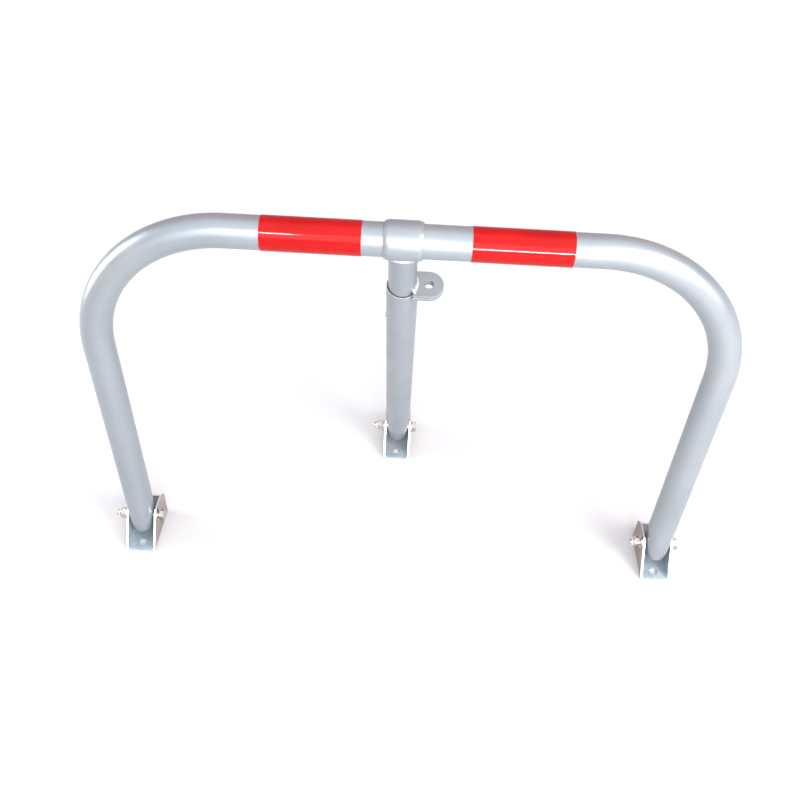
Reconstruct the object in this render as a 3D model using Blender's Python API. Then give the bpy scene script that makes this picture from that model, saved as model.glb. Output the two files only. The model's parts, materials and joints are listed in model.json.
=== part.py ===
"""Folding parking lock: a bent tube hoop on two hinged feet, propped from behind by a telescoping strut.

Metres, +Z up. The origin is on the ground under the middle of the whole lock. The hoop runs along X, the strut
stands behind it (+Y), and the hoop folds down towards -Y. Each piece hangs from an empty on its joint's axis.
"""

from math import atan2, cos, hypot, pi, radians, sin

import bmesh
import bpy
from mathutils import Matrix, Vector

# Fit
GAP = 0.0003  # between pieces that touch
BOLT_PLAY = 0.0003  # around the shank, in every hole it passes

# Hoop
HOOP_WIDTH = 1.000  # outside to outside
TUBE_OD = 0.048
TUBE_WALL = 0.0025
BEND_RADIUS = 0.215  # to the tube's centre line
PIVOT_HEIGHT = 0.050
BAR_RISE = 0.615  # from the pivots up to the top bar's centre line
LEG_X = (HOOP_WIDTH - TUBE_OD) / 2

# Tube ends, pressed flat between a foot's ears; heights are from the pivot
END_DROP = 0.018
PRESSED_BELOW = 0.014
ROUND_ABOVE = 0.056
PRESSED_HALF_WIDTH = 0.0205
PRESSED_POWER = 2.5
END_NARROWING = 0.0020

# Feet
FOOT_WIDTH = 0.054
PLATE = 0.004
FOOT_FRONT = 0.047  # from the pivot forward to the plate's edge
FOOT_BACK = 0.053
EAR_HEIGHT = 0.067
EAR_FRONT_LEAN = 0.040  # how far the ear's front edge slopes back
EAR_FRONT_TOP = 0.060
EAR_BACK_RADIUS = 0.030
WALL_HEIGHT = 0.045  # the wall that joins the ears behind the tube
FOLD_RADIUS = 0.0065  # outside the folded corners
FOLD_STEPS = 4
ANCHOR_HOLE_R = 0.0070
ANCHOR_HOLE_INSET = 0.017

# Pivot bolt, M12, with a locking nut
BOLT_R = 0.0060
HEX_FLATS = 0.0185
HEX_FACE_R = 0.0088  # the round flat inside the chamfer
HEX_CHAMFER = 0.577  # chamfer depth over its width
HEAD_HEIGHT = 0.0075
NUT_HEX_HEIGHT = 0.0090
NUT_HEIGHT = 0.0120
NUT_CROWN_R = 0.0078
NUT_CROWN_EDGE = 0.0012
BOLT_LENGTH = 0.080  # under the head
STAND_OFFS = {"left": (0.0020, 0.0), "right": (0.0, 0.0035), "rear": (0.0, 0.0015)}  # head and nut off washer
WASHER_R = 0.0120
WASHER_BORE_R = 0.0065
WASHER_THICKNESS = 0.0025

# Strut
STRUT_X = -0.015  # the collar stands a little to the left of the hoop's middle
STRUT_TREAD = 0.272  # from the front pivots back to the rear one
COLLAR_OD = 0.056
COLLAR_BORE = 0.0488
COLLAR_LENGTH = 0.054
COLLAR_EASE_LENGTH = 0.008
COLLAR_EASE_DEPTH = 0.0024
UPPER_OD = 0.042
UPPER_WALL = 0.0025
UPPER_END = 0.450  # from the collar's axis down the strut
LOWER_OD = 0.048
LOWER_WALL = 0.0022
RIM = 0.115  # the lower tube's mouth, from the collar's axis down the strut

# Padlock plates
PLATE_WIDTH = 0.044
PLATE_THICKNESS = 0.006
PLATE_ROOT = 0.016  # from the strut's axis
PLATE_HOLE_X = 0.0395
PADLOCK_HOLE_R = 0.0070

# Stop rivet, through the lower tube's wall into a slot in the upper tube
RIVET_BELOW_RIM = 0.090
RIVET_R = 0.0030
RIVET_HEAD_R = 0.0048
RIVET_HEAD_HEIGHT = 0.0014

# Reflective tape
TAPE_LENGTH = 0.1380
TAPE_THICKNESS = 0.0004
TAPE_CENTRES = (-0.141, 0.147)

# Mesh fineness
TUBE_SIDES = 24
BEND_STEPS = 11
ROUND_SIDES = 24
HOLE_SIDES = 20
COLLAR_EASE_STEPS = 4

# Worked out
FRONT_Y = -(STRUT_TREAD + FOOT_BACK - FOOT_FRONT) / 2
REAR_Y = FRONT_Y + STRUT_TREAD
BAR_Z = PIVOT_HEIGHT + BAR_RISE
STRUT_LENGTH = hypot(STRUT_TREAD, BAR_RISE)
STRUT_LEAN = atan2(STRUT_TREAD, BAR_RISE)
FOLDED_TRAVEL = STRUT_TREAD + BAR_RISE - STRUT_LENGTH
EAR_OUTSIDE = FOOT_WIDTH / 2 + GAP
SEAT = EAR_OUTSIDE + WASHER_THICKNESS + GAP  # where a head or nut meets its washer
RING_ANGLES = [2 * pi * i / ROUND_SIDES for i in range(ROUND_SIDES)]

COLOURS = {  # base colour, metallic, roughness
    "silver_paint": ((0.62, 0.64, 0.67), 0.75, 0.38),
    "zinc": ((0.50, 0.56, 0.62), 0.90, 0.35),
    "bright_zinc": ((0.78, 0.77, 0.73), 1.00, 0.22),
    "red_tape": ((0.72, 0.012, 0.010), 0.00, 0.25),
}


# ---------------------------------------------------------------- scene and small helpers


def clear_scene():
    for old in list(bpy.data.objects):
        bpy.data.objects.remove(old)


def material(node, colour):
    base, metallic, roughness = COLOURS[colour]
    made = bpy.data.materials.new(node + "_finish")
    made.use_nodes = True
    shader = made.node_tree.nodes["Principled BSDF"]
    shader.inputs["Base Color"].default_value = (*base, 1)
    shader.inputs["Metallic"].default_value = metallic
    shader.inputs["Roughness"].default_value = roughness
    return made


def empty(name, location, lean=0.0):
    made = bpy.data.objects.new(name, None)
    made.location = location
    made.rotation_euler.x = lean
    made.empty_display_size = 0.05
    bpy.context.scene.collection.objects.link(made)
    return made


def add_object(name, bm, parent, offset=(0, 0, 0)):
    bmesh.ops.recalc_face_normals(bm, faces=bm.faces)
    mesh = bpy.data.meshes.new(name)
    bm.to_mesh(mesh)
    bm.free()
    made = bpy.data.objects.new(name, mesh)
    made.parent = parent
    made.location = offset
    bpy.context.scene.collection.objects.link(made)
    return made


def add_part(name, bm, parent, colour, offset=(0, 0, 0)):
    made = add_object(name, bm, parent, offset)
    made.data.materials.append(material(name, colour))
    made.data.shade_smooth()
    made.data.set_sharp_from_angle(angle=radians(35))
    return made


def cut(part, name, bm, operation="DIFFERENCE"):
    """Cuts the shape in bm out of the part, or keeps what is inside it. It stands in the part's own frame."""
    cutter = add_object(name, bm, part.parent, part.location)
    cutter.hide_render = True
    cutter.display_type = "WIRE"
    modifier = part.modifiers.new(name, "BOOLEAN")
    modifier.operation = operation
    modifier.solver = "EXACT"
    modifier.object = cutter


def soften(part, width):
    modifier = part.modifiers.new("edges", "BEVEL")
    modifier.width = width
    modifier.segments = 1
    modifier.limit_method = "ANGLE"
    modifier.angle_limit = radians(40)
    modifier.harden_normals = False


def axis_frame(axis):
    """Turns local +Z to the named axis."""
    return {"X": Matrix.Rotation(pi / 2, 4, "Y"), "Z": Matrix()}[axis]


def rod(radius, start, end, axis="X", sides=HOLE_SIDES, centre=(0, 0, 0)):
    """A plain cylinder along an axis, from start to end, with its corners turned half a step off the axes."""
    bm = bmesh.new()
    middle = Matrix.Translation((0, 0, (start + end) / 2)) @ Matrix.Rotation(pi / sides, 4, "Z")
    place = Matrix.Translation(centre) @ axis_frame(axis) @ middle
    bmesh.ops.create_cone(
        bm, cap_ends=True, segments=sides, radius1=radius, radius2=radius, depth=end - start, matrix=place
    )
    return bm


def turned(profile, axis="X", sides=ROUND_SIDES):
    """Spins an outline of (along, radius) points round an axis. An outline that ends on the axis is solid."""
    bm = bmesh.new()
    verts = [bm.verts.new((radius, 0, along)) for along, radius in profile]
    hollow = min(radius for _, radius in profile) > 0
    pairs = list(zip(verts, verts[1:]))
    if hollow:
        pairs.append((verts[-1], verts[0]))
    edges = [bm.edges.new(pair) for pair in pairs]
    bmesh.ops.spin(
        bm, geom=verts + edges, cent=(0, 0, 0), axis=(0, 0, 1), angle=2 * pi, steps=sides, use_merge=True
    )
    bmesh.ops.remove_doubles(bm, verts=bm.verts, dist=1e-6)
    bm.transform(axis_frame(axis))
    return bm


def bridged(rings, capped=False):
    """A closed skin through rings of points. The last ring joins the first, or both ends are capped."""
    bm = bmesh.new()
    loops = []
    for ring in rings:
        verts = [bm.verts.new(point) for point in ring]
        loops.append(verts)
    if capped:
        bm.faces.new(loops[0])
        bm.faces.new(loops[-1])
    for low, high in zip(loops, loops[1:] + ([] if capped else loops[:1])):
        for i in range(len(low)):
            j = (i + 1) % len(low)
            bm.faces.new((low[i], low[j], high[j], high[i]))
    return bm


def slab(outline, low, high, axis="Z"):
    """Extrudes a closed outline along an axis: +Z from (x, y) points, or +X from (y, z) points."""
    bm = bmesh.new()
    if axis == "Z":
        points = [Vector((x, y, low)) for x, y in outline]
        step = Vector((0, 0, high - low))
    else:
        points = [Vector((low, y, z)) for y, z in outline]
        step = Vector((high - low, 0, 0))
    face = bm.faces.new([bm.verts.new(point) for point in points])
    grown = bmesh.ops.extrude_face_region(bm, geom=[face])
    bmesh.ops.translate(bm, verts=[v for v in grown["geom"] if isinstance(v, bmesh.types.BMVert)], vec=step)
    return bm


def arc(centre, radius, start, end, steps):
    """Points on an arc, with angles in radians."""
    angles = [start + (end - start) * i / steps for i in range(steps + 1)]
    return [(centre[0] + radius * cos(a), centre[1] + radius * sin(a)) for a in angles]


# ---------------------------------------------------------------- tubes


def smooth(low, high, value):
    t = min(max((value - low) / (high - low), 0), 1)
    return t * t * (3 - 2 * t)


def tube_half_sizes(height, radius):
    """Half width across the ears, half depth and squareness of a tube, by height over the pivot at its end."""
    pressed = 1 - smooth(PRESSED_BELOW, ROUND_ABOVE, height)
    width = radius + (PRESSED_HALF_WIDTH - radius) * pressed
    depth = (2 * radius**2 - width**2) ** 0.5
    power = 2 + (PRESSED_POWER - 2) * pressed
    tip = smooth(0, -END_DROP, height) if height < 0 else 0
    return width - END_NARROWING * tip**2, depth - END_NARROWING / 2 * tip**2, power


def section(half_width, half_depth, power, sides=TUBE_SIDES):
    """A ring of (across, depth) points: an ellipse at power 2, squarer above it."""
    ring = []
    for i in range(sides):
        c, s = cos(2 * pi * i / sides), sin(2 * pi * i / sides)
        across = abs(c) ** (2 / power) * (1 if c >= 0 else -1)
        deep = abs(s) ** (2 / power) * (1 if s >= 0 else -1)
        ring.append((half_width * across, half_depth * deep))
    return ring


def end_heights():
    """Heights over the pivot at which a pressed tube end is drawn, from its tip up to the round tube."""
    below = [-END_DROP, -0.75 * END_DROP, -0.4 * END_DROP]
    above = [PRESSED_BELOW + (ROUND_ABOVE - PRESSED_BELOW) * i / 5 for i in range(6)]
    return below + above


def hoop_stations():
    """(centre, angle, height over the nearer pivot) along the tube, from the left end to the right one."""
    turn = BAR_RISE - BEND_RADIUS
    corner_x = LEG_X - BEND_RADIUS
    left = [(Vector((-LEG_X, 0, h)), 0.0, h) for h in end_heights()]
    for i in range(BEND_STEPS + 1):
        angle = pi / 2 * i / BEND_STEPS
        centre = (-corner_x - BEND_RADIUS * cos(angle), 0, turn + BEND_RADIUS * sin(angle))
        left.append((Vector(centre), angle, turn))
    right = [(Vector((-p.x, 0, p.z)), pi - angle, h) for p, angle, h in reversed(left)]
    return left + right


def hoop_rings(wall):
    rings = []
    for centre, angle, height in hoop_stations():
        width, depth, power = tube_half_sizes(height, TUBE_OD / 2)
        inward = Vector((cos(angle), 0, -sin(angle)))
        ring = section(width - wall, depth - wall, power)
        rings.append([centre + inward * across + Vector((0, deep, 0)) for across, deep in ring])
    return rings


def make_hoop(pivots):
    skin = bridged(hoop_rings(0) + hoop_rings(TUBE_WALL)[::-1])
    hoop = add_part("hoop_tube", skin, pivots, "silver_paint")
    reach = LEG_X + TUBE_OD
    cut(hoop, "hoop_bolt_holes", rod(BOLT_R + BOLT_PLAY, -reach, reach))
    return hoop


def make_tapes(pivots):
    inner = TUBE_OD / 2 + GAP
    outer = inner + TAPE_THICKNESS
    half = TAPE_LENGTH / 2
    outline = [(-half, inner), (half, inner), (half, outer), (-half, outer)]
    for side, centre in zip(("left", "right"), TAPE_CENTRES):
        name = side + "_reflective_tape"
        add_part(name, turned(outline), pivots, "red_tape", (centre, 0, BAR_RISE))


# ---------------------------------------------------------------- strut


def make_collar(hinge):
    """A sleeve whose ends are eased down towards the bar."""
    half, outer, bore = COLLAR_LENGTH / 2, COLLAR_OD / 2, COLLAR_BORE / 2
    eased = [(half, bore)]
    for i in range(COLLAR_EASE_STEPS + 1):
        share = i / COLLAR_EASE_STEPS
        fall = COLLAR_EASE_DEPTH * (1 - share) ** 2
        eased.append((half - COLLAR_EASE_LENGTH * share, outer - fall))
    outline = [(-x, radius) for x, radius in eased] + eased[::-1]
    add_part("strut_collar", turned(outline, sides=40), hinge, "silver_paint")


def make_upper_tube(hinge):
    outer, inner = UPPER_OD / 2, UPPER_OD / 2 - UPPER_WALL
    outline = [(-UPPER_END, inner), (-UPPER_END, outer), (0, outer), (0, inner)]
    tube = add_part("upper_strut_tube", turned(outline, "Z"), hinge, "silver_paint")
    cut(tube, "collar_seat", rod(COLLAR_OD / 2 + GAP, -COLLAR_OD, COLLAR_OD, sides=64))
    slot_top = -(RIM + RIVET_BELOW_RIM)
    slot_end = slot_top - FOLDED_TRAVEL
    half = RIVET_R + 2 * GAP
    outline = arc((0, slot_top), half, 0, pi, 8) + arc((0, slot_end), half, pi, 2 * pi, 8)
    cut(tube, "stop_slot", slab(outline, -UPPER_OD, -UPPER_OD / 4, "X"))


def lower_tube_rings(wall):
    drop = STRUT_LENGTH - RIM
    heights = end_heights() + [drop]
    rings = []
    for height in heights:
        width, depth, power = tube_half_sizes(height, LOWER_OD / 2)
        ring = section(width - wall, depth - wall, power)
        rings.append([Vector((across, deep, height - drop)) for across, deep in ring])
    return rings


def make_lower_tube(guide):
    skin = bridged(lower_tube_rings(0) + lower_tube_rings(LOWER_WALL)[::-1])
    tube = add_part("lower_strut_tube", skin, guide, "silver_paint")
    pivot = (0, 0, RIM - STRUT_LENGTH)
    cut(tube, "strut_bolt_hole", rod(BOLT_R + BOLT_PLAY, -LOWER_OD, LOWER_OD, centre=pivot))
    hole = rod(RIVET_R + GAP, -LOWER_OD, -LOWER_OD / 4, centre=(0, 0, -RIVET_BELOW_RIM))
    cut(tube, "rivet_hole", hole)


def make_rivet(guide):
    face = LOWER_OD / 2 + GAP
    tip = UPPER_OD / 2 - UPPER_WALL - 0.001
    crown = face + RIVET_HEAD_HEIGHT
    outline = [(-tip, 0), (-tip, RIVET_R), (-face, RIVET_R), (-face, RIVET_HEAD_R)]
    outline.append((-face - 0.5 * RIVET_HEAD_HEIGHT, 0.9 * RIVET_HEAD_R))
    outline += [(-crown, 0.45 * RIVET_HEAD_R), (-crown, 0)]
    add_part("stop_rivet", turned(outline, sides=20), guide, "bright_zinc", (0, 0, -RIVET_BELOW_RIM))


def make_lock_plate(name, parent, tube_radius, low):
    """A D-shaped padlock plate square to the strut, standing out to the right of a tube."""
    half = PLATE_WIDTH / 2
    outline = [(PLATE_ROOT, half), (PLATE_ROOT, -half)] + arc((PLATE_HOLE_X, 0), half, -pi / 2, pi / 2, 14)
    plate = add_part(name, slab(outline, low, low + PLATE_THICKNESS), parent, "silver_paint")
    beyond = 2 * PLATE_THICKNESS
    seat = rod(tube_radius + GAP, low - beyond, low + beyond, "Z", sides=36)
    cut(plate, name + "_seat", seat)
    hole = rod(PADLOCK_HOLE_R, low - beyond, low + beyond, "Z", centre=(PLATE_HOLE_X, 0, 0))
    cut(plate, name + "_hole", hole)
    soften(plate, 0.0006)


# ---------------------------------------------------------------- feet


def ear_outline():
    """The foot from the side, as (y, z) from the pivot: sloping front, rounded top, upright back."""
    ground = -PIVOT_HEIGHT
    top = ground + EAR_HEIGHT
    shoulder = (EAR_FRONT_LEAN - FOOT_FRONT, ground + EAR_FRONT_TOP)
    back = (FOOT_BACK - EAR_BACK_RADIUS, top - EAR_BACK_RADIUS)
    outline = [(-FOOT_FRONT, ground), (-FOOT_FRONT, ground + PLATE)]
    outline += [shoulder, (shoulder[0] + 0.006, top - 0.0025), (shoulder[0] + 0.014, top)]
    outline += arc(back, EAR_BACK_RADIUS, pi / 2, 0, 9)
    outline += [(FOOT_BACK, ground)]
    return outline


def folded_box(half_width, front, back, low, high, radius):
    """A block about the pivot with its folds rounded: both lower sides, the lower back and the back corners."""
    bm = slab([(front, low), (back, low), (back, high), (front, high)], -half_width, half_width, "X")
    folds = []
    for edge in bm.edges:
        ends = [v.co for v in edge.verts]
        level = all(abs(p.z - low) < GAP for p in ends)
        rear = all(abs(p.y - back) < GAP for p in ends)
        side = abs(ends[0].x - ends[1].x) < GAP
        if (level and (side or rear)) or (rear and side):
            folds.append(edge)
    bmesh.ops.bevel(bm, geom=folds, offset=radius, segments=FOLD_STEPS, profile=0.5, affect="EDGES")
    return bm


def make_bracket(name, pivot):
    """A plate folded up on both sides and behind, with the ears' outline cut through both sides."""
    half, ground, beyond = FOOT_WIDTH / 2, -PIVOT_HEIGHT, 2 * EAR_HEIGHT
    block = folded_box(half, -FOOT_FRONT, FOOT_BACK, ground, beyond, FOLD_RADIUS)
    bracket = add_part(name, block, pivot, "zinc")
    inner = FOLD_RADIUS - PLATE
    inside = folded_box(half - PLATE, -beyond, FOOT_BACK - PLATE, ground + PLATE, 2 * beyond, inner)
    cut(bracket, name + "_inside", inside)
    cut(bracket, name + "_profile", slab(ear_outline(), -FOOT_WIDTH, FOOT_WIDTH, "X"), "INTERSECT")
    wall_top = ground + WALL_HEIGHT
    over = [(0, wall_top), (beyond, wall_top), (beyond, beyond), (0, beyond)]
    cut(bracket, name + "_wall_top", slab(over, PLATE / 2 - half, half - PLATE / 2, "X"))

    cut(bracket, name + "_bolt_hole", rod(BOLT_R + BOLT_PLAY, -FOOT_WIDTH, FOOT_WIDTH))
    for place, y in (("front", ANCHOR_HOLE_INSET - FOOT_FRONT), ("back", FOOT_BACK - ANCHOR_HOLE_INSET)):
        hole = rod(ANCHOR_HOLE_R, ground - PLATE, ground + 2 * PLATE, "Z", centre=(0, y, 0))
        cut(bracket, name + "_" + place + "_anchor_hole", hole)
    soften(bracket, 0.0005)


def hex_radius(angle):
    """From the axis to the side of the bolt's hexagon, which has a flat at angle 0."""
    return HEX_FLATS / 2 / cos((angle + pi / 6) % (pi / 3) - pi / 6)


def round_ring(x, radius):
    return [Vector((x, radius * cos(a), radius * sin(a))) for a in RING_ANGLES]


def hex_ring(x, face_r=None, outward=1):
    """A hexagonal ring. With face_r its corners fall back from x, as the turned chamfer of a hexagon does."""
    ring = []
    for angle in RING_ANGLES:
        radius = hex_radius(angle)
        back = 0 if face_r is None else (radius - face_r) * HEX_CHAMFER
        ring.append(Vector((x - outward * back, radius * cos(angle), radius * sin(angle))))
    return ring


def make_bolt(name, pivot, stand_off):
    """Head on the right, rounded tip on the left."""
    head_low = SEAT + stand_off
    head_high = head_low + HEAD_HEIGHT
    tip = head_low - BOLT_LENGTH
    rings = [round_ring(tip, 0.55 * BOLT_R), round_ring(tip + 0.0008, 0.8 * BOLT_R)]
    rings += [round_ring(tip + 0.0025, BOLT_R), round_ring(head_low, BOLT_R)]
    rings += [hex_ring(head_low), hex_ring(head_high, HEX_FACE_R), round_ring(head_high, HEX_FACE_R)]
    add_part(name, bridged(rings, capped=True), pivot, "bright_zinc")


def make_nut(name, pivot, stand_off):
    """A locking nut on the left: a hexagon towards the washer, and a round crown that grips the thread."""
    high = -(SEAT + stand_off)
    shoulder = high - NUT_HEX_HEIGHT
    low = high - NUT_HEIGHT
    bore = BOLT_R + BOLT_PLAY
    rings = [round_ring(high, bore), round_ring(high, HEX_FACE_R), hex_ring(high, HEX_FACE_R)]
    rings += [hex_ring(shoulder, HEX_FACE_R, -1), round_ring(shoulder, NUT_CROWN_R)]
    rings += [round_ring(low + NUT_CROWN_EDGE, NUT_CROWN_R), round_ring(low, NUT_CROWN_R - NUT_CROWN_EDGE)]
    rings.append(round_ring(low, bore))
    add_part(name, bridged(rings), pivot, "bright_zinc")


def make_washer(name, pivot, inside, side):
    """side is +1 on the right of the foot and -1 on the left."""
    near, far, edge = side * inside, side * (inside + WASHER_THICKNESS), side * 0.0004
    outline = [(near, WASHER_BORE_R), (near, WASHER_R), (far - edge, WASHER_R), (far, WASHER_R - 0.0004)]
    outline += [(far, WASHER_BORE_R)]
    add_part(name, turned(outline), pivot, "bright_zinc")


def make_foot(side, pivot):
    head_stand_off, nut_stand_off = STAND_OFFS[side]
    make_bracket(side + "_foot_bracket", pivot)
    make_bolt(side + "_pivot_bolt", pivot, head_stand_off)
    make_nut(side + "_pivot_nut", pivot, nut_stand_off)
    make_washer(side + "_head_washer", pivot, EAR_OUTSIDE, 1)
    make_washer(side + "_nut_washer", pivot, EAR_OUTSIDE, -1)


def main():
    clear_scene()
    fold_axis = empty("hoop_fold_axis", (0, FRONT_Y, PIVOT_HEIGHT))
    collar_axis = empty("collar_axis", (STRUT_X, FRONT_Y, BAR_Z), STRUT_LEAN)
    rim = Vector((STRUT_X, FRONT_Y + RIM * sin(STRUT_LEAN), BAR_Z - RIM * cos(STRUT_LEAN)))
    slide_axis = empty("strut_slide_axis", rim, STRUT_LEAN)

    make_hoop(fold_axis)
    make_tapes(fold_axis)
    make_collar(collar_axis)
    make_upper_tube(collar_axis)
    make_lock_plate("upper_lock_plate", collar_axis, UPPER_OD / 2, GAP - RIM)
    make_lower_tube(slide_axis)
    make_lock_plate("lower_lock_plate", slide_axis, LOWER_OD / 2, -PLATE_THICKNESS - GAP)
    make_rivet(slide_axis)

    feet = (("left", -LEG_X, FRONT_Y), ("right", LEG_X, FRONT_Y), ("rear", STRUT_X, REAR_Y))
    for side, x, y in feet:
        make_foot(side, empty(side + "_foot_pivot", (x, y, PIVOT_HEIGHT)))


main()
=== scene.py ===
"""Looks of the folding parking lock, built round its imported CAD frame. Metres, +Z up."""

import json
from math import atan2, cos, pi, radians, sin, sqrt

import bmesh
import bpy
from mathutils import Matrix, Vector, noise


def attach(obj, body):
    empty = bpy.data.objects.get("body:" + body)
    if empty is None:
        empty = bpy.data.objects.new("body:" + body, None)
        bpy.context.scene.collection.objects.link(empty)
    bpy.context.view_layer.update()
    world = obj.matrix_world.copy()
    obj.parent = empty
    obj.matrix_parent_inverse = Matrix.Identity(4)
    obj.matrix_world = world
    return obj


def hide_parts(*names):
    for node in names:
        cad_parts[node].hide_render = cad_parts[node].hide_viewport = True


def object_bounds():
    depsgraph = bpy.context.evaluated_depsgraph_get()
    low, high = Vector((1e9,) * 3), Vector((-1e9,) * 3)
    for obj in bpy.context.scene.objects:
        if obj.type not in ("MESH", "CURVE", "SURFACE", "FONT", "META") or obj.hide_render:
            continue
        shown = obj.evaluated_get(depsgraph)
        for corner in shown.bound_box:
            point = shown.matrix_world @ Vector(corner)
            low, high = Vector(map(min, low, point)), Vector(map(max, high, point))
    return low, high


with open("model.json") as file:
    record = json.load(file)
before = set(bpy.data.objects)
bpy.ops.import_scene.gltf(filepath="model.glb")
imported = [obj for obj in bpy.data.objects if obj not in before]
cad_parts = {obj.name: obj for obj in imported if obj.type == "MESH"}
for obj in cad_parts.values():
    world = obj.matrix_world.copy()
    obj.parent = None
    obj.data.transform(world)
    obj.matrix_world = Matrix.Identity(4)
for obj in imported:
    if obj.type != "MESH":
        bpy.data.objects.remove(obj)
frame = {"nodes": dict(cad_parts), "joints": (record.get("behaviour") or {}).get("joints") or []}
CAD_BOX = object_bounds()

JOINTS = {joint["name"]: joint for joint in frame["joints"]}
FOLD = Vector(JOINTS["hoop_fold"]["pos_m"])
COLLAR = Vector(JOINTS["collar_turn"]["pos_m"])
REAR = Vector(JOINTS["rear_foot_turn"]["pos_m"])
DOWN_STRUT = (REAR - COLLAR).normalized()

# Tubes, as in the CAD
TUBE_R = 0.0240
TUBE_WALL = 0.0025
BEND_RADIUS = 0.215
LEG_X = 0.476
BAR_RISE = COLLAR.z - FOLD.z
END_DROP = 0.018
PRESSED_BELOW = 0.014
ROUND_ABOVE = 0.056
PRESSED_HALF_WIDTH = 0.0205
PRESSED_POWER = 2.5
END_NARROWING = 0.0020
BOLT_HOLE_R = 0.0063

# Strut
STRUT_LENGTH = (REAR - COLLAR).length
RIM = 0.115
COLLAR_R = 0.028
COLLAR_BORE_R = 0.0244
COLLAR_HALF = 0.027
COLLAR_EASE_LENGTH = 0.008
COLLAR_EASE_DEPTH = 0.0024
UPPER_R = 0.021
UPPER_WALL = 0.0025
UPPER_END = 0.450
LOWER_R = 0.024
LOWER_WALL = 0.0022
MOUTH_CHAMFER = 0.0010
STOP_BELOW_RIM = 0.090
STOP_TRAVEL = 0.2145
PLATE_THICKNESS = 0.006
SLOT_HALF_WIDTH = 0.0036
RIVET_HOLE_R = 0.0033
HOLE_REACH = 0.05

# Feet and bolts
EAR_OUTSIDE = 0.0273
WASHER = 0.0025
NUT_LENGTH = 0.0120
BOLT_LENGTH = 0.080
STAND_OFFS = {"left": (0.0020, 0.0), "right": (0.0, 0.0035), "rear": (0.0, 0.0015)}
BOLT_R = 0.0060
BOLT_TIP_CHAMFER = 0.0014
GAP = 0.0003
FEET = (
    ("left", "front_feet", Vector((-LEG_X, FOLD.y, FOLD.z))),
    ("right", "front_feet", Vector((LEG_X, FOLD.y, FOLD.z))),
    ("rear", "rear_foot", REAR),
)

# Nylon ring in each nut
INSERT_BORE_R = 0.0064
INSERT_R = 0.0072
INSERT_PROUD = 0.0002
INSERT_DEPTH = 0.0012

# Thread on the bolts' tips: heights are from the shank's skin
THREAD_PITCH = 0.00175
THREAD_ROOT = -0.0006
THREAD_FADED = -0.0001
THREAD_RISE = 0.0002475
THREAD_HALF_WIDTH = 0.42 * THREAD_PITCH
THREAD_CREST_SHARE = 0.10
THREAD_SIDES = 28
THREAD_FADE_STEPS = 8
THREAD_INTO_NUT = 0.0004

# Weld beads: gains are shares of a bead's radius, the ripple's length is in radii, scales are per metre
BEAD_SIDES = 14
RIPPLE_GAIN = 0.18
RIPPLE_LENGTH = 1.3
WANDER_GAIN = 0.22
WANDER_SCALE = 260
LUMP_GAIN = 0.10
LUMP_SCALE = 380
SWELL_POWER = 0.7
TAPER_START = 0.35
TAPER_RATE = 3.0

TAPES = (("left_reflective_tape", -0.141), ("right_reflective_tape", 0.147))
TAPE_HALF = 0.069
TAPE_THICKNESS = 0.0004
TAPE_SOFT_EDGE = 0.00015

# Light: the studio's colours by direction, then name, place, aim, size, watts and colour of each lamp
FRONT_SKY = (1.62, 1.70, 1.74)
BACK_SKY = (0.86, 0.60, 0.66)
SIDE_SKY = (0.42, 0.44, 0.47)
LAMPS = (
    ("key", (1.9, -1.5, 1.7), (0.45, 0.0, 0.35), (1.5, 1.5), 100, (1.0, 1.0, 1.0)),
    ("front_strip", (0.1, -2.3, 1.50), (0.0, -0.14, 0.66), (3.4, 1.5), 27, (1.0, 1.0, 1.0)),
    ("low_strip", (0.42, -2.1, 0.72), (0.15, -0.14, 0.665), (0.5, 0.11), 34, (1.0, 1.0, 1.0)),
    ("left_edge", (-1.7, 0.0, 0.8), (-0.476, -0.14, 0.55), (0.5, 1.0), 18, (0.95, 0.98, 1.0)),
    ("glint", (-0.43, -1.40, 1.44), (-0.19, -0.14, 0.665), (0.11, 0.05), 5.0, (1.0, 1.0, 1.0)),
)

# Camera
CAMERA_PLACE = (0.0021, -1.1359, 1.2791)
CAMERA_PITCH = radians(42.331)
CAMERA_YAW = radians(-0.678)
CAMERA_ROLL = radians(2.747)
LENS_MM = 37.991
SENSOR_MM = 36.0

# Mesh fineness
SIDES = 72
RING_SIDES = 96
BEND_STEPS = 44
DROP_STEPS = 8
PRESSED_STEPS = 14
MERGE_DISTANCE = 2e-6
FLAT_ANGLE = radians(0.2)
SHARP_DEGREES = 35.0


# ---------------------------------------------------------------- node materials


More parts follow.
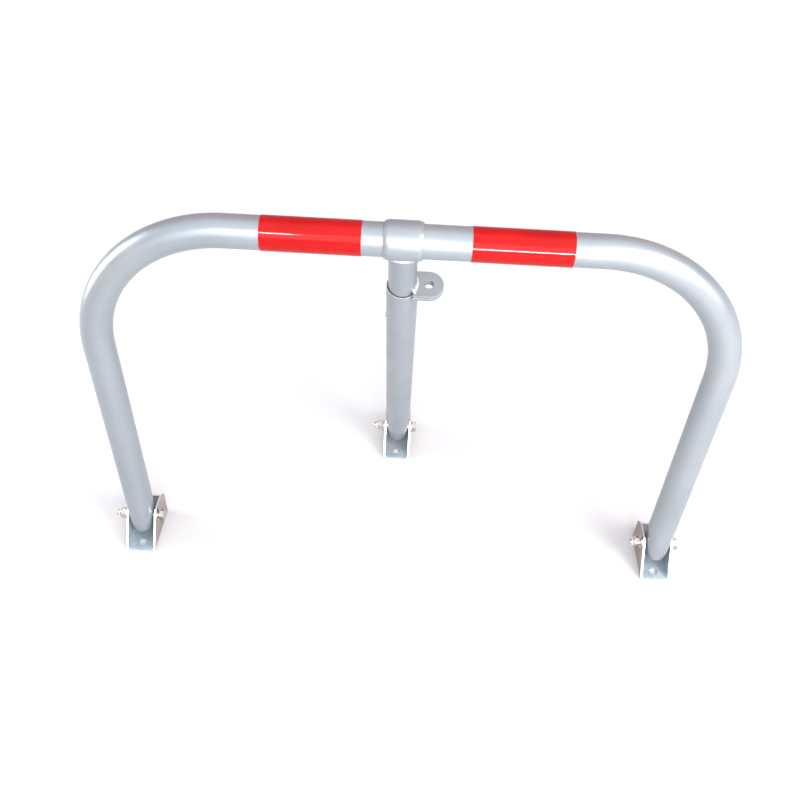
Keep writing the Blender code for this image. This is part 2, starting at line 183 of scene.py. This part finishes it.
class Nodes:
    """Adds and links nodes in one tree, in short lines."""

    def __init__(self, tree, place):
        self.tree = tree
        self.place = self.add("ShaderNodeTexCoord").outputs[place]

    def add(self, kind, **settings):
        node = self.tree.nodes.new(kind)
        for key, value in settings.items():
            setattr(node, key, value)
        return node

    def link(self, source, target):
        self.tree.links.new(source, target)

    def stretched(self, scale):
        mapping = self.add("ShaderNodeMapping")
        mapping.inputs["Scale"].default_value = scale
        self.link(self.place, mapping.inputs["Vector"])
        return mapping.outputs["Vector"]

    def noise(self, scale, detail=3.0, rough=0.5, vector=None):
        node = self.add("ShaderNodeTexNoise")
        node.inputs["Scale"].default_value = scale
        node.inputs["Detail"].default_value = detail
        node.inputs["Roughness"].default_value = rough
        self.link(vector or self.place, node.inputs["Vector"])
        return node.outputs["Fac"]

    def cells(self, scale, output="Distance", feature="F1"):
        node = self.add("ShaderNodeTexVoronoi", feature=feature)
        node.inputs["Scale"].default_value = scale
        self.link(self.place, node.inputs["Vector"])
        return node.outputs[output]

    def spread(self, value, low, high, start=0.3, end=0.7, ease="LINEAR"):
        """Runs from low to high as the value goes from start to end."""
        node = self.add("ShaderNodeMapRange", interpolation_type=ease)
        for socket, number in zip(("From Min", "From Max", "To Min", "To Max"), (start, end, low, high)):
            node.inputs[socket].default_value = number
        self.link(value, node.inputs["Value"])
        return node.outputs["Result"]

    def blend(self, factor, first, second, mode="MIX"):
        node = self.add("ShaderNodeMix", data_type="RGBA", blend_type=mode)
        for socket, value in ((node.inputs[0], factor), (node.inputs[6], first), (node.inputs[7], second)):
            if isinstance(value, bpy.types.NodeSocket):
                self.link(value, socket)
            else:
                socket.default_value = value if isinstance(value, float) else (*value, 1)
        return node.outputs[2]

    def bump(self, height, distance, strength=1.0, under=None):
        node = self.add("ShaderNodeBump")
        node.inputs["Distance"].default_value = distance
        node.inputs["Strength"].default_value = strength
        self.link(height, node.inputs["Height"])
        if under:
            self.link(under, node.inputs["Normal"])
        return node.outputs["Normal"]


class Paint(Nodes):
    """One material, textured in its piece's own space."""

    def __init__(self, name):
        self.material = bpy.data.materials.new(name)
        self.material.use_nodes = True
        super().__init__(self.material.node_tree, "Object")
        self.shader = self.tree.nodes["Principled BSDF"]

    def finish(self, colour, roughness, normal=None, **numbers):
        self.link(colour, self.shader.inputs["Base Color"])
        self.link(roughness, self.shader.inputs["Roughness"])
        if normal:
            self.link(normal, self.shader.inputs["Normal"])
        for key, value in numbers.items():
            self.shader.inputs[key.replace("_", " ")].default_value = value
        return self.material


def silver_paint():
    """Satin aluminium paint on rolled tube: fine flake, orange peel and slow changes of sheen."""
    n = Paint("silver_paint")
    cloud = n.noise(7.0, 4.0)
    tone = n.blend(n.spread(cloud, 0.0, 1.0), (0.243, 0.267, 0.295), (0.284, 0.301, 0.321))
    flake = n.cells(2600.0, "Color")
    tone = n.blend(0.07, tone, flake, "SOFT_LIGHT")
    dust = n.spread(n.noise(46.0, 6.0, 0.65), 0.0, 0.30, start=0.58, end=0.78)
    tone = n.blend(dust, tone, (0.225, 0.225, 0.234))
    sheen = n.spread(n.noise(21.0, 5.0, 0.6), 0.30, 0.42)
    peel = n.bump(n.noise(420.0, 2.0), 0.00010, 0.5)
    grain = n.bump(n.noise(2300.0, 1.0), 0.00003, 0.5, peel)
    return n.finish(tone, sheen, grain, Metallic=0.60, Coat_Weight=0.10, Coat_Roughness=0.20)


def lumpy_metal(name, dark, light):
    """Lumpy metal between two tones: a weld under thin paint and bolt thread, and also painted highlights
    on edges and painted shade in the strut's mouth.
    """
    n = Paint(name)
    tone = n.blend(n.spread(n.noise(160.0, 3.0), 0.0, 1.0), dark, light)
    sheen = n.spread(n.noise(300.0, 3.0), 0.22, 0.38)
    lumps = n.bump(n.noise(620.0, 3.0), 0.0003, 0.5)
    return n.finish(tone, sheen, lumps, Metallic=0.55)


def zinc_plate(name, dark, light, stained, metal):
    """Zinc-plated pressed steel: blue-grey passivation, faint spangle and drawn scratches."""
    n = Paint(name)
    cloud = n.noise(24.0, 4.0, 0.6)
    tone = n.blend(n.spread(cloud, 0.0, 1.0), dark, light)
    spangle = n.cells(210.0, "Color")
    tone = n.blend(0.12, tone, spangle, "SOFT_LIGHT")
    stain = n.spread(n.noise(70.0, 6.0, 0.7), 0.0, 0.45, start=0.56, end=0.74)
    tone = n.blend(stain, tone, stained)
    drawn = n.noise(1.0, 4.0, 0.7, n.stretched((900.0, 28.0, 120.0)))
    streaks = n.noise(1.0, 5.0, 0.8, n.stretched((60.0, 420.0, 420.0)))
    scratched = n.spread(streaks, 0.0, 0.55, start=0.60, end=0.66)
    tone = n.blend(scratched, tone, (0.50, 0.55, 0.58))
    sheen = n.spread(drawn, 0.28, 0.48)
    scratch = n.bump(drawn, 0.00008, 0.5)
    return n.finish(tone, sheen, scratch, Metallic=metal)


def bright_zinc():
    """Bright zinc on bolts, nuts and washers, with turning marks and handling scuffs."""
    n = Paint("bright_zinc")
    tone = n.blend(n.spread(n.noise(90.0, 4.0), 0.0, 1.0), (0.44, 0.41, 0.37), (0.62, 0.59, 0.55))
    grime = n.spread(n.noise(330.0, 5.0, 0.7), 0.0, 0.5, start=0.62, end=0.82)
    tone = n.blend(grime, tone, (0.16, 0.11, 0.09))
    sheen = n.spread(n.noise(260.0, 4.0, 0.6), 0.10, 0.24)
    marks = n.bump(n.noise(1.0, 3.0, 0.5, n.stretched((2600.0, 300.0, 300.0))), 0.00004, 0.6)
    return n.finish(tone, sheen, marks, Metallic=1.0)


def red_tape():
    """Glossy retroreflective film: fine beaded cells under a clear top layer."""
    n = Paint("red_tape")
    cloud = n.noise(16.0, 4.0)
    tone = n.blend(n.spread(cloud, 0.0, 1.0), (0.26, 0.0012, 0.0009), (0.33, 0.0024, 0.0018))
    cell = n.cells(640.0, "Distance", "DISTANCE_TO_EDGE")
    seam = n.spread(cell, 0.25, 0.0, start=0.0, end=0.10)
    tone = n.blend(seam, tone, (0.25, 0.001, 0.001))
    scuff = n.spread(n.noise(55.0, 6.0, 0.7), 0.20, 0.32)
    ripple = n.bump(n.noise(38.0, 2.0), 0.0009, 0.12)
    beads = n.bump(cell, 0.00003, 0.25, ripple)
    numbers = {"Specular_IOR_Level": 0.03, "Coat_Weight": 0.40, "Coat_Roughness": 0.06}
    return n.finish(tone, scuff, beads, Metallic=0.0, **numbers)


def white_nylon():
    """The locking ring of a nut: matt off-white plastic."""
    n = Paint("white_nylon")
    tone = n.blend(n.spread(n.noise(240.0), 0.0, 1.0), (0.72, 0.72, 0.69), (0.84, 0.84, 0.81))
    return n.finish(tone, n.spread(n.noise(500.0), 0.38, 0.55), n.bump(n.noise(900.0), 0.00005, 0.4))


def floor_paint():
    """Matt pale floor, with a faint glow that grows to the back and far from the object."""
    n = Paint("pale_floor")
    tone = n.blend(n.spread(n.noise(1.2, 3.0), 0.0, 1.0), (0.43, 0.43, 0.435), (0.45, 0.45, 0.455))
    place = n.add("ShaderNodeSeparateXYZ")
    n.link(n.place, place.inputs[0])
    away = n.add("ShaderNodeVectorMath", operation="LENGTH")
    n.link(n.place, away.inputs[0])
    glow = n.add("ShaderNodeMath", operation="MAXIMUM")
    n.link(n.spread(place.outputs["Y"], 0.03, 0.45, start=-0.4, end=1.8), glow.inputs[0])
    n.link(n.spread(away.outputs["Value"], 0.0, 0.62, start=1.5, end=3.6), glow.inputs[1])
    n.link(glow.outputs[0], n.shader.inputs["Emission Strength"])
    n.shader.inputs["Emission Color"].default_value = (1.0, 1.0, 1.0, 1.0)
    return n.finish(tone, n.spread(n.noise(3.0), 0.88, 0.94), Specular_IOR_Level=0.0)


SILVER = silver_paint()
# Weld beads, lighter than the paint: partly the weld's own metal, partly a painted highlight
WELD_AND_HIGHLIGHT = lumpy_metal("weld_metal_and_highlight", (0.46, 0.49, 0.52), (0.66, 0.69, 0.71))
# Bright tone for edges and rims: a painted highlight
EDGE_HIGHLIGHT = lumpy_metal("edge_painted_highlight", (0.56, 0.58, 0.60), (0.72, 0.73, 0.74))
THREAD = lumpy_metal("thread_steel", (0.20, 0.18, 0.17), (0.46, 0.43, 0.40))
# Near-black tone: painted shade inside the strut's mouth
MOUTH_SHADE = lumpy_metal("mouth_painted_shade", (0.045, 0.045, 0.050), (0.10, 0.10, 0.11))
ZINC = zinc_plate("zinc_plate", (0.26, 0.315, 0.36), (0.40, 0.46, 0.505), (0.19, 0.225, 0.265), 0.35)
# Mauve copy of the zinc for the ears' outer faces: a painted reflection of mauve light
ZINC_PAINTED_REFLECTION = zinc_plate(
    "zinc_plate_painted_reflection", (0.25, 0.185, 0.18), (0.34, 0.26, 0.25), (0.20, 0.15, 0.145), 0.5
)
BRIGHT = bright_zinc()
RED = red_tape()
NYLON = white_nylon()


# ---------------------------------------------------------------- mesh helpers


def add_mesh(name, bm, paint, sharp=SHARP_DEGREES):
    """Turns the bmesh into a painted object, smooth but for edges sharper than this angle."""
    bmesh.ops.recalc_face_normals(bm, faces=bm.faces)
    mesh = bpy.data.meshes.new(name)
    bm.to_mesh(mesh)
    bm.free()
    mesh.shade_smooth()
    mesh.set_sharp_from_angle(angle=radians(sharp))
    mesh.materials.append(paint)
    made = bpy.data.objects.new(name, mesh)
    bpy.context.scene.collection.objects.link(made)
    return made


def bridged(rings, capped=False):
    """A closed skin through rings of points. The last ring joins the first, or both ends are capped."""
    bm = bmesh.new()
    loops = [[bm.verts.new(point) for point in ring] for ring in rings]
    if capped:
        bm.faces.new(loops[0])
        bm.faces.new(loops[-1])
    for low, high in zip(loops, loops[1:] + ([] if capped else loops[:1])):
        for i in range(len(low)):
            j = (i + 1) % len(low)
            bm.faces.new((low[i], low[j], high[j], high[i]))
    return bm


def circle(place, along, radius, sides=SIDES):
    """A ring square to the local X axis of the frame called place."""
    angles = [2 * pi * i / sides for i in range(sides)]
    return [place @ Vector((along, radius * cos(a), radius * sin(a))) for a in angles]


def lathe(place, outline, sides=SIDES):
    """A closed ring-shaped body from an outline of (along, radius), turned about local X."""
    return bridged([circle(place, along, radius, sides) for along, radius in outline])


def applied(piece):
    """Bakes the piece's modifiers into its mesh."""
    graph = bpy.context.evaluated_depsgraph_get()
    mesh = bpy.data.meshes.new_from_object(piece.evaluated_get(graph))
    piece.modifiers.clear()
    piece.data = mesh


def drilled(piece, cutters):
    """Cuts each bmesh out of the piece for good."""
    helpers = []
    for i, bm in enumerate(cutters):
        helper = add_mesh(f"{piece.name}_cutter_{i}", bm, SILVER)
        modifier = piece.modifiers.new(helper.name, "BOOLEAN")
        modifier.operation = "DIFFERENCE"
        modifier.solver = "EXACT"
        modifier.object = helper
        helpers.append(helper)
    applied(piece)
    for helper in helpers:
        bpy.data.objects.remove(helper)
    piece.data.set_sharp_from_angle(angle=radians(SHARP_DEGREES))


def rod(place, radius, start, end, sides=36):
    """A plain bar along the local X axis of the frame called place."""
    turn = Matrix.Rotation(pi / sides, 4, "X")
    return bridged([circle(place @ turn, along, radius, sides) for along in (start, end)], capped=True)


def settle(piece, body, slot, *replaced):
    """Fixes the piece to its body and hides the CAD nodes that it stands in for. The slot is not used."""
    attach(piece, body)
    if replaced:
        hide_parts(*replaced)
    return piece


def painted(piece, paint, chosen):
    """Gives another paint to the faces for which chosen(centre, normal) is true."""
    piece.data.materials.append(paint)
    for face in piece.data.polygons:
        if chosen(face.center, face.normal):
            face.material_index = len(piece.data.materials) - 1


def refined(node, body, slot, paint, sharp=50.0):
    """A welded copy of a CAD node, shaded so that its small chamfers read as rounded edges."""
    bm = bmesh.new()
    bm.from_mesh(frame["nodes"][node].data)
    bmesh.ops.remove_doubles(bm, verts=bm.verts, dist=MERGE_DISTANCE)
    bmesh.ops.dissolve_limit(bm, angle_limit=FLAT_ANGLE, verts=bm.verts, edges=bm.edges)
    piece = add_mesh(node + "_shown", bm, paint, sharp)
    weighted = piece.modifiers.new("flats", "WEIGHTED_NORMAL")
    weighted.keep_sharp = True
    weighted.weight = 90
    return settle(piece, body, slot, node)


# ---------------------------------------------------------------- tubes


def smooth(low, high, value):
    t = min(max((value - low) / (high - low), 0), 1)
    return t * t * (3 - 2 * t)


def pressed_ring(height, radius, wall):
    """(across, depth) points of a tube's section, by height over the pivot at its pressed end."""
    pressed = 1 - smooth(PRESSED_BELOW, ROUND_ABOVE, height)
    width = radius + (PRESSED_HALF_WIDTH - radius) * pressed
    depth = (2 * radius**2 - width**2) ** 0.5
    power = 2 + (PRESSED_POWER - 2) * pressed
    tip = smooth(0, -END_DROP, height) if height < 0 else 0
    width -= END_NARROWING * tip**2 + wall
    depth -= END_NARROWING / 2 * tip**2 + wall
    ring = []
    for i in range(SIDES):
        c, s = cos(2 * pi * i / SIDES), sin(2 * pi * i / SIDES)
        across = abs(c) ** (2 / power) * (1 if c >= 0 else -1)
        deep = abs(s) ** (2 / power) * (1 if s >= 0 else -1)
        ring.append((width * across, depth * deep))
    return ring


def end_heights():
    """Heights of the sections from a tube's pressed end up to where it is round."""
    below = [-END_DROP * (1 - i / DROP_STEPS) for i in range(DROP_STEPS)]
    return below + [ROUND_ABOVE * i / PRESSED_STEPS for i in range(PRESSED_STEPS + 1)]


def hoop_rings(wall):
    """Sections from the left leg's end over the bar to the right leg's end, wall in from the skin."""
    turn = BAR_RISE - BEND_RADIUS
    corner_x = LEG_X - BEND_RADIUS
    left = [(Vector((-LEG_X, 0, h)), 0.0, h) for h in end_heights()]
    for i in range(BEND_STEPS + 1):
        angle = pi / 2 * i / BEND_STEPS
        centre = (-corner_x - BEND_RADIUS * cos(angle), 0, turn + BEND_RADIUS * sin(angle))
        left.append((Vector(centre), angle, turn))
    right = [(Vector((-p.x, 0, p.z)), pi - angle, h) for p, angle, h in reversed(left)]
    rings = []
    for centre, angle, height in left + right:
        inward = Vector((cos(angle), 0, -sin(angle)))
        ring = pressed_ring(height, TUBE_R, wall)
        rings.append([FOLD + centre + inward * across + Vector((0, deep, 0)) for across, deep in ring])
    return rings


def make_hoop():
    skin = bridged(hoop_rings(0) + hoop_rings(TUBE_WALL)[::-1])
    hoop = add_mesh("hoop_tube_shown", skin, SILVER)
    reach = LEG_X + 2 * TUBE_R
    drilled(hoop, [rod(Matrix.Translation(FOLD), BOLT_HOLE_R, -reach, reach)])
    # Painted highlight: the tube ends' downward faces take the bright edge tone
    painted(hoop, EDGE_HIGHLIGHT, lambda centre, normal: normal.z < -0.7 and centre.z < FOLD.z - 0.9 * END_DROP)
    settle(hoop, "hoop", "silver_paint", "hoop_tube")


def make_tapes():
    inner = TUBE_R + GAP
    outer = inner + TAPE_THICKNESS
    soft = TAPE_SOFT_EDGE
    for name, x in TAPES:
        place = Matrix.Translation((x, COLLAR.y, COLLAR.z))
        outline = [(-TAPE_HALF, inner), (-TAPE_HALF, outer - soft), (soft - TAPE_HALF, outer)]
        outline += [(TAPE_HALF - soft, outer), (TAPE_HALF, outer - soft), (TAPE_HALF, inner)]
        tape = add_mesh(name + "_shown", lathe(place, outline, RING_SIDES), RED)
        settle(tape, "hoop", "red_tape", name)


# ---------------------------------------------------------------- strut

# The strut's frame: origin on the collar's axis, local Z up the strut, local X as the world's.
STRUT = Matrix.Translation(COLLAR) @ Matrix.Rotation(atan2(DOWN_STRUT.y, -DOWN_STRUT.z), 4, "X")


def on_strut(radius, angle, height):
    """A point at this distance from the strut's axis, by angle about it and height along it."""
    return STRUT @ Vector((radius * cos(angle), radius * sin(angle), height))


def make_collar():
    """The sleeve, eased down towards the bar at both ends, with a soft inner lip."""
    steps = 10
    lip = 0.0004
    eased = [(COLLAR_HALF - lip, COLLAR_BORE_R), (COLLAR_HALF, COLLAR_BORE_R + lip)]
    for i in range(steps + 1):
        share = i / steps
        fall = COLLAR_EASE_DEPTH * (1 - share) ** 2
        eased.append((COLLAR_HALF - COLLAR_EASE_LENGTH * share, COLLAR_R - fall))
    outline = [(-x, radius) for x, radius in eased] + eased[::-1]
    collar = add_mesh("strut_collar_shown", lathe(STRUT, outline, RING_SIDES), SILVER)
    settle(collar, "strut_head", "silver_paint", "strut_collar")


def saddle(angle, radius, clear=GAP):
    """Height at which a strut tube of this radius meets the collar's skin."""
    across = radius * sin(angle)
    return -sqrt((COLLAR_R + clear) ** 2 - across**2)


def make_upper_tube():
    """The tube welded to the collar, with the slot that the stop rivet runs in."""
    angles = [2 * pi * i / SIDES for i in range(SIDES)]
    rings = []
    for radius, order in ((UPPER_R, 1), (UPPER_R - UPPER_WALL, -1)):
        top = [on_strut(radius, a, saddle(a, radius)) for a in angles]
        low = [on_strut(radius, a, -UPPER_END) for a in angles]
        rings += [low, top][::order]
    tube = add_mesh("upper_strut_tube_shown", bridged(rings), SILVER)
    high = -(RIM + STOP_BELOW_RIM)
    steps = 8
    half = SLOT_HALF_WIDTH
    outline = [(half * cos(pi * i / steps), high + half * sin(pi * i / steps)) for i in range(steps + 1)]
    outline += [(-y, 2 * high - STOP_TRAVEL - z) for y, z in outline]
    ends = (-2 * UPPER_R, -UPPER_R / 2)
    slot = bridged([[STRUT @ Vector((x, y, z)) for y, z in outline] for x in ends], capped=True)
    drilled(tube, [slot])
    settle(tube, "strut_head", "silver_paint", "upper_strut_tube")


def in_mouth(centre):
    """Within the lower tube, near its upper end."""
    down = (centre - COLLAR).dot(DOWN_STRUT)
    across = (centre - COLLAR - DOWN_STRUT * down).length
    return down < RIM + 0.03 and across < LOWER_R - LOWER_WALL + 1.2 * MOUTH_CHAMFER


def make_lower_tube():
    """The outer tube: chamfered at its mouth, pressed and drilled at its foot."""
    drop = STRUT_LENGTH - RIM
    rings = []
    for wall, order in ((0, 1), (LOWER_WALL, -1)):
        skin = []
        for height in end_heights() + [drop - MOUTH_CHAMFER, drop]:
            inset = wall
            if height == drop:
                inset += -MOUTH_CHAMFER if wall else 0.0003
            skin.append([
                STRUT @ Vector((across, deep, height - STRUT_LENGTH))
                for across, deep in pressed_ring(height, LOWER_R, inset)
            ])
        rings += skin[::order]
    tube = add_mesh("lower_strut_tube_shown", bridged(rings), SILVER)
    pivot = Matrix.Translation(REAR)
    rivet = STRUT @ Matrix.Translation((0, 0, -RIM - STOP_BELOW_RIM))
    bolt_hole = rod(pivot, BOLT_HOLE_R, -HOLE_REACH, HOLE_REACH)
    rivet_hole = rod(rivet, RIVET_HOLE_R, -2 * LOWER_R, -LOWER_R / 2)
    drilled(tube, [bolt_hole, rivet_hole])
    # Painted highlight: the mouth's rim and the foot's end take the bright edge tone
    painted(tube, EDGE_HIGHLIGHT, lambda centre, normal: abs(normal.dot(DOWN_STRUT)) > 0.9)
    # Painted shade: the inner wall at the mouth is near-black where the gap between the tubes lies in
    # shadow
    painted(tube, MOUTH_SHADE, lambda centre, normal: in_mouth(centre) and abs(normal.dot(DOWN_STRUT)) < 0.9)
    settle(tube, "lower_strut", "silver_paint", "lower_strut_tube")


# ---------------------------------------------------------------- welds


def bead(name, body, path, radius, seed, swell):
    """A lumpy round bar along a path. Each swell is (share of its length, gain, half-width as a share)."""
    rings = []
    lengths = [0.0]
    for a, b in zip(path, path[1:]):
        lengths.append(lengths[-1] + (b - a).length)
    total = lengths[-1]
    for i, point in enumerate(path):
        ahead = path[min(i + 1, len(path) - 1)] - path[max(i - 1, 0)]
        ahead.normalize()
        side = ahead.orthogonal() if i == 0 else (side - ahead * side.dot(ahead))
        side.normalize()
        other = ahead.cross(side)
        share = lengths[i] / total
        grown = 1 + RIPPLE_GAIN * abs(sin(pi * lengths[i] / (RIPPLE_LENGTH * radius)))
        grown += WANDER_GAIN * noise.noise(Vector((lengths[i] * WANDER_SCALE, seed, 0)))
        for centre, gain, width in swell:
            grown += gain * max(0.0, 1 - abs(share - centre) / width) ** SWELL_POWER
        taper = min(1.0, TAPER_START + TAPER_RATE * min(lengths[i], total - lengths[i]) / radius)
        size = radius * grown * taper
        ring = []
        for k in range(BEAD_SIDES):
            a = 2 * pi * k / BEAD_SIDES
            spot = Vector((lengths[i] * LUMP_SCALE, 2 * cos(a), 2 * sin(a) + seed))
            lump = 1 + LUMP_GAIN * noise.noise(spot)
            ring.append(point + (side * cos(a) + other * sin(a)) * size * lump)
        rings.append(ring)
    # The bead's light tone is partly a painted highlight
    settle(add_mesh(name, bridged(rings, capped=True), WELD_AND_HIGHLIGHT, 70), body, "silver_paint")


def saddle_path(end, steps, out):
    """Round the joint of the upper tube and the collar, from its right side to the end angle."""
    angles = [end * i / steps for i in range(steps + 1)]
    return [on_strut(UPPER_R + out, a, saddle(a, UPPER_R, 0.0004) - out) for a in angles]


def plate_path(radius, height, reach, steps):
    """Along the root of a padlock plate, round the front, right and back of its tube."""
    return [on_strut(radius, -reach + 2 * reach * i / steps, height) for i in range(steps + 1)]


def make_welds():
    """One bead round the collar's joint, and one at the root of each padlock plate."""
    path = saddle_path(end=2 * pi * 71 / 72, steps=150, out=0.0006)
    swell = ((0.96, 1.0, 0.035), (0.75, 0.30, 0.02))
    bead("collar_weld", "strut_head", path, 0.0022, 1.0, swell)
    top = GAP + PLATE_THICKNESS - RIM
    path = plate_path(UPPER_R + 0.0012, top + 0.0006, reach=radians(44), steps=60)
    bead("upper_plate_weld", "strut_head", path, 0.0025, 2.0, ((0.06, 0.7, 0.10),))
    low = -RIM - GAP - PLATE_THICKNESS
    path = plate_path(LOWER_R + 0.0010, low - 0.0004, reach=radians(48), steps=60)
    bead("lower_plate_weld", "lower_strut", path, 0.0021, 3.0, ((0.05, 0.8, 0.08),))


# ---------------------------------------------------------------- bolts and nuts


def thread(name, body, pivot, start, end):
    """A shallow V thread: a helical ridge wound round the bolt's tip, closed at both ends."""
    turns = (end - start) / THREAD_PITCH - 1.0
    steps = int(turns * THREAD_SIDES)
    along = Vector((1, 0, 0))
    rings = []
    for i in range(steps + 1):
        a = 2 * pi * i / THREAD_SIDES
        x = start + THREAD_PITCH * (0.5 + i / THREAD_SIDES)
        fade = min(1.0, i / THREAD_FADE_STEPS, (steps - i) / THREAD_FADE_STEPS) * 0.98 + 0.02
        half = THREAD_HALF_WIDTH * fade
        crest = THREAD_CREST_SHARE * half
        out = Vector((0, cos(a), sin(a)))
        root = pivot + out * (BOLT_R + THREAD_ROOT)
        top = pivot + out * (BOLT_R + THREAD_FADED + THREAD_RISE * fade)
        rings.append([
            root + along * (x - half),
            top + along * (x - crest),
            top + along * (x + crest),
            root + along * (x + half),
        ])
    settle(add_mesh(name, bridged(rings, capped=True), THREAD, 25), body, "bright_zinc")


def on_highlit_edge(centre, normal):
    """The ears' sloping, rounded and top edges, and the wall's top: a bright tone here is a painted
    highlight on the sheared edges.
    """
    return abs(normal.x) < 0.3 and (normal.z > 0.5 or normal.y < -0.5) and centre.z > 0.006


def make_foot(side, body, pivot):
    """A foot's bracket and fastenings, with the nylon ring and the thread that the CAD leaves out."""
    bracket = refined(side + "_foot_bracket", body, "zinc_plate", ZINC)
    # Painted reflection: the ears' outer faces take the mauve copy of the zinc
    painted(bracket, ZINC_PAINTED_REFLECTION, lambda centre, normal: abs(centre.x - pivot.x) > EAR_OUTSIDE - 2 * GAP)
    # Painted highlight along the ears' and the wall's top edges
    painted(bracket, EDGE_HIGHLIGHT, on_highlit_edge)
    for piece in ("_pivot_bolt", "_pivot_nut", "_head_washer", "_nut_washer"):
        refined(side + piece, body, "bright_zinc", BRIGHT, 28.0)
    head_stand_off, nut_stand_off = STAND_OFFS[side]
    seat = EAR_OUTSIDE + WASHER + GAP
    nut_end = -(seat + nut_stand_off + NUT_LENGTH)
    tip = seat + head_stand_off - BOLT_LENGTH
    outer = nut_end - INSERT_PROUD
    inner = nut_end + INSERT_DEPTH
    outline = [(outer, INSERT_BORE_R), (outer, INSERT_R), (inner, INSERT_R), (inner, INSERT_BORE_R)]
    ring = lathe(Matrix.Translation(pivot), outline, 40)
    settle(add_mesh(side + "_nut_insert", ring, NYLON), body, None)
    thread(side + "_bolt_thread", body, pivot, tip + BOLT_TIP_CHAMFER, nut_end + THREAD_INTO_NUT)


# ---------------------------------------------------------------- stage


def make_stage():
    """A wide flat floor under the feet."""
    bm = bmesh.new()
    bmesh.ops.create_grid(bm, x_segments=2, y_segments=2, size=30.0)
    floor = add_mesh("floor", bm, floor_paint())
    floor.location.z = CAD_BOX[0].z


def area_light(name, place, aim, size, power, colour):
    data = bpy.data.lights.new(name, "AREA")
    data.shape = "RECTANGLE"
    data.size, data.size_y = size
    data.energy = power
    data.color = colour
    lamp = bpy.data.objects.new(name, data)
    lamp.location = place
    lamp.rotation_mode = "QUATERNION"
    lamp.rotation_quaternion = (Vector(aim) - Vector(place)).to_track_quat("-Z", "Y")
    bpy.context.scene.collection.objects.link(lamp)


def make_light():
    """A pale studio: bright in front, mauve behind, dimmer to both sides."""
    world = bpy.data.worlds.new("studio")
    bpy.context.scene.world = world
    world.use_nodes = True
    n = Nodes(world.node_tree, "Generated")
    split = n.add("ShaderNodeSeparateXYZ")
    n.link(n.place, split.inputs[0])
    back = n.spread(split.outputs["Y"], 0.0, 1.0, start=-0.15, end=0.55, ease="SMOOTHSTEP")
    sky = n.blend(back, FRONT_SKY, BACK_SKY)
    sideways = n.add("ShaderNodeMath", operation="ABSOLUTE")
    n.link(split.outputs["X"], sideways.inputs[0])
    side = n.spread(sideways.outputs[0], 0.0, 1.0, start=0.50, end=0.95, ease="SMOOTHSTEP")
    background = world.node_tree.nodes["Background"]
    n.link(n.blend(side, sky, SIDE_SKY), background.inputs["Color"])
    background.inputs["Strength"].default_value = 1.0
    for lamp in LAMPS:
        area_light(*lamp)


def make_camera():
    level = cos(CAMERA_PITCH)
    forward = Vector((sin(CAMERA_YAW) * level, cos(CAMERA_YAW) * level, -sin(CAMERA_PITCH)))
    right = forward.cross(Vector((0, 0, 1))).normalized()
    up = right.cross(forward)
    x_axis = right * cos(CAMERA_ROLL) + up * sin(CAMERA_ROLL)
    y_axis = up * cos(CAMERA_ROLL) - right * sin(CAMERA_ROLL)
    data = bpy.data.cameras.new("camera")
    data.lens = LENS_MM
    data.sensor_width = SENSOR_MM
    camera = bpy.data.objects.new("camera", data)
    turn = Matrix((x_axis, y_axis, -forward)).transposed().to_4x4()
    camera.matrix_world = Matrix.Translation(CAMERA_PLACE) @ turn
    bpy.context.scene.collection.objects.link(camera)
    bpy.context.scene.camera = camera


make_camera()
make_stage()
make_light()
bpy.context.scene.view_settings.view_transform = "Standard"
make_hoop()
make_tapes()
make_collar()
make_upper_tube()
make_lower_tube()
refined("upper_lock_plate", "strut_head", "silver_paint", SILVER)
refined("lower_lock_plate", "lower_strut", "silver_paint", SILVER)
refined("stop_rivet", "lower_strut", "bright_zinc", BRIGHT)
make_welds()
for foot in FEET:
    make_foot(*foot)
